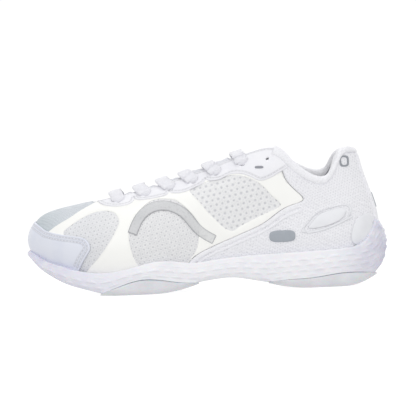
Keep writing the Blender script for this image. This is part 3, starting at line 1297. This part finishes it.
def tongue():
    """One padded tongue: held under the lace, with a free end that bends over the hinge."""
    xs, _, widths = np.transpose(TONGUE_SHAPE)
    x = np.concatenate([np.arange(-92, 56.5, 1.0), [56.6, 57.0]])
    half = np.maximum(spline(xs, widths, x), 1)
    across = np.linspace(-1, 1, 61)
    thick = 4.6 * np.clip(np.minimum((x + 93) / 4, (57.6 - x) / 3.5), 0.12, 1) ** 0.5
    verts = []
    pits = []
    for xi, wide, deep in zip(x, half, thick):
        y = across * wide
        edge = np.sqrt(np.maximum(1 - np.clip((abs(across) - 0.86) / 0.14, 0, 1) ** 2, 0))
        border = np.exp(-(((abs(y) - (wide - 4.2)) / 0.7) ** 2))
        quilt = 0.35 * np.cos(xi * 2 * math.pi / 9) * np.clip(1 - abs(across) / 0.75, 0, 1)
        top = tongue_point(xi, y, -deep / 2 * (1 - edge) - 0.5 * border * (deep > 3) + quilt - 0.35)
        top[:, 2] += swell(xi, across)
        low = tongue_point(xi, y, -deep / 2 - deep / 2 * edge)
        gap, _ = lattice(np.full_like(y, xi), y, 3.0)
        pit = np.clip(1.2 - gap / 0.55, 0, 1) * (abs(across) < 0.8)
        top[:, 2] -= 0.3 * pit
        verts.append(np.concatenate([top, low[::-1]]))
        pits.append(np.concatenate([pit, 0 * pit]))
    faces = [f[::-1] for f in tube_faces(len(x), 2 * len(across))]
    piece = new_mesh("tongue_padded", np.concatenate(verts), faces, tongue_knit, body=None,
                     values={"pit": np.concatenate(pits)})
    height = float(crown(HINGE_X)) * MM
    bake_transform(piece)
    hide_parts("tongue", "tongue_top")


# Each bar leaves its eyelet by these steps: t, lift off the skin, and change of s.
BAR_STEPS = ((EYELET_T, -3.0, 0), (EYELET_T, 0.4, 0), (EYELET_T + 0.014, 2.5, -0.015),
             (0.935, 2.9, -0.05), (0.97, 3.0, -0.09), (1.0, 3.1, -0.13))
# Where it crosses the tongue: y, and height over its own edge.
BAR_CREST = ((-7.0, 1.6), (0.0, 2.4), (7.0, 1.6))
BAR_SLANT, BAR_OVER_TONGUE = 0.28, 1.4
# Gathered runs under the eyestays: from one row to another, the side, and a bow up or down the skin.
RUNS = ((0, 1, 1, 0), (3, 5, 1, 0.05), (2, 4, 1, -0.05), (1, 3, -1, 0.05), (0, 2, -1, -0.05))
RUN_LIFT, RUN_BOW_LIFT, RUN_WIDTH, RUN_HEIGHT = -2.9, -3.1, 2.6, 2.2
TAIL_ROWS, TAIL_STEPS = (4, 5), ((0.74, -3.8), (0.56, -6))
AGLET_ALONG = np.array([-1, -0.9, 0, 8, 16.5, 17.6, 18])
AGLET_SIZES = np.array([2.6, 3.0, 3.1, 3.0, 3.0, 2.7, 1.6])
LACE_AROUND = 14


def lace_bar(s):
    """One bar: its path from eyelet to eyelet over the tongue, its widths, heights and slant."""
    lateral = [skin(s + shift, t, lift) for t, lift, shift in BAR_STEPS]
    medial = [skin(-(s + shift), t, lift) for t, lift, shift in BAR_STEPS][::-1]
    x = lateral[-1][0] - 1.2
    top = []
    for y, rise in BAR_CREST:
        over_tongue = tongue_point(x, np.array(y))[2] + BAR_OVER_TONGUE
        top.append(np.array([x, y, max(over_tongue, lateral[-1][2] + rise)]))
    path = smooth(lateral + top + medial, closed=False, per=7)
    share = np.linspace(0, 1, len(path))
    flat = ease(np.minimum(share, 1 - share) / 0.17)
    wander = rng.normal(0, 0.12, 3)
    sideways = np.array([math.cos(BAR_SLANT), wander[0] * 0.3, math.sin(BAR_SLANT)])
    return path, 3.0 + 6.6 * flat, 2.2 - 0.7 * flat, np.tile(sideways, (len(path), 1))


def gathered(points, per, sideways):
    """A stretch of lace pulled into a rounded strand, as it lies where it doesn't show."""
    path = smooth(points, closed=False, per=per)
    n = len(path)
    return path, np.full(n, RUN_WIDTH), np.full(n, RUN_HEIGHT), np.tile(np.array(sideways), (n, 1))


def lace_run(stations, row, other, side, bow):
    points = [skin(side * stations[row], EYELET_T, RUN_LIFT)]
    if abs(other - row) > 1:
        between = stations[(row + other) // 2]
        points.append(skin(side * between, EYELET_T + bow, RUN_BOW_LIFT))
    points.append(skin(side * stations[other], EYELET_T, RUN_LIFT))
    return gathered(points, 14, [0.0, side * 1.0, 0.5])


def aglet(start, way):
    path = start + AGLET_ALONG[:, None] * way
    sideways = np.tile([1.0, 0, 0], (len(path), 1))
    return cord_mesh(path, AGLET_SIZES, AGLET_SIZES, sideways, around=16, power=1.0)


def lace():
    """Straight bars over each pair of eyelets, runs under the eyestays, and two tails tucked inside."""
    stations = [station(x, EYELET_T) for x in EYELETS]
    strands = [lace_bar(s) for s in stations]
    strands += [lace_run(stations, *run) for run in RUNS]
    ends = []
    for row in TAIL_ROWS:
        points = [skin(-stations[row], EYELET_T, RUN_LIFT)]
        points += [skin(-(stations[row] + 0.12), t, lift) for t, lift in TAIL_STEPS]
        strands.append(gathered(points, 10, [1.0, 0, 0]))
        way = points[-1] - points[-2]
        ends.append(aglet(points[-1], way / np.linalg.norm(way)))
    turn = np.arange(LACE_AROUND) * 2 * math.pi / LACE_AROUND
    parts, uvs = [], []
    for path, widths, heights, sideways in strands:
        parts.append(cord_mesh(path, widths, heights, sideways, around=LACE_AROUND))
        off = np.cos(turn)[None] * widths[:, None] / 2
        uv = np.stack(np.broadcast_arrays(run_along(path)[:, None], off), -1)
        uvs.append(uv.reshape(-1, 2))
    verts, faces = joined(parts)
    piece = new_mesh("lace_flat", verts, faces, lace_mat, uv=np.concatenate(uvs))
    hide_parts("lace")
    verts, faces = joined(ends)
    piece = new_mesh("aglet_tips", verts, faces, aglet_mat)
    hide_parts("aglets")


def hidden_parts():
    """CAD nodes whose shape is right and that stay: stiffeners, strobel board and insole foam."""
    foam_sheet = moulded_look("insole_foam", srgb(226, 226, 230), 0.7)
    for node, material in (("toe_puff", stiff_mat), ("heel_counter", stiff_mat),
                           ("strobel_board", stiff_mat), ("insole", foam_sheet)):
        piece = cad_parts[node]
        piece.data.materials.clear()
        piece.data.materials.append(material)


studio()
camera()
sole_unit()
insole_top()
base_panels()
toe_box()
film()
toe_cap()
eyestay()
heel_textile()
folded_edge()
small_overlays()
backstay()
collar()
tongue()
lace()
hidden_parts()
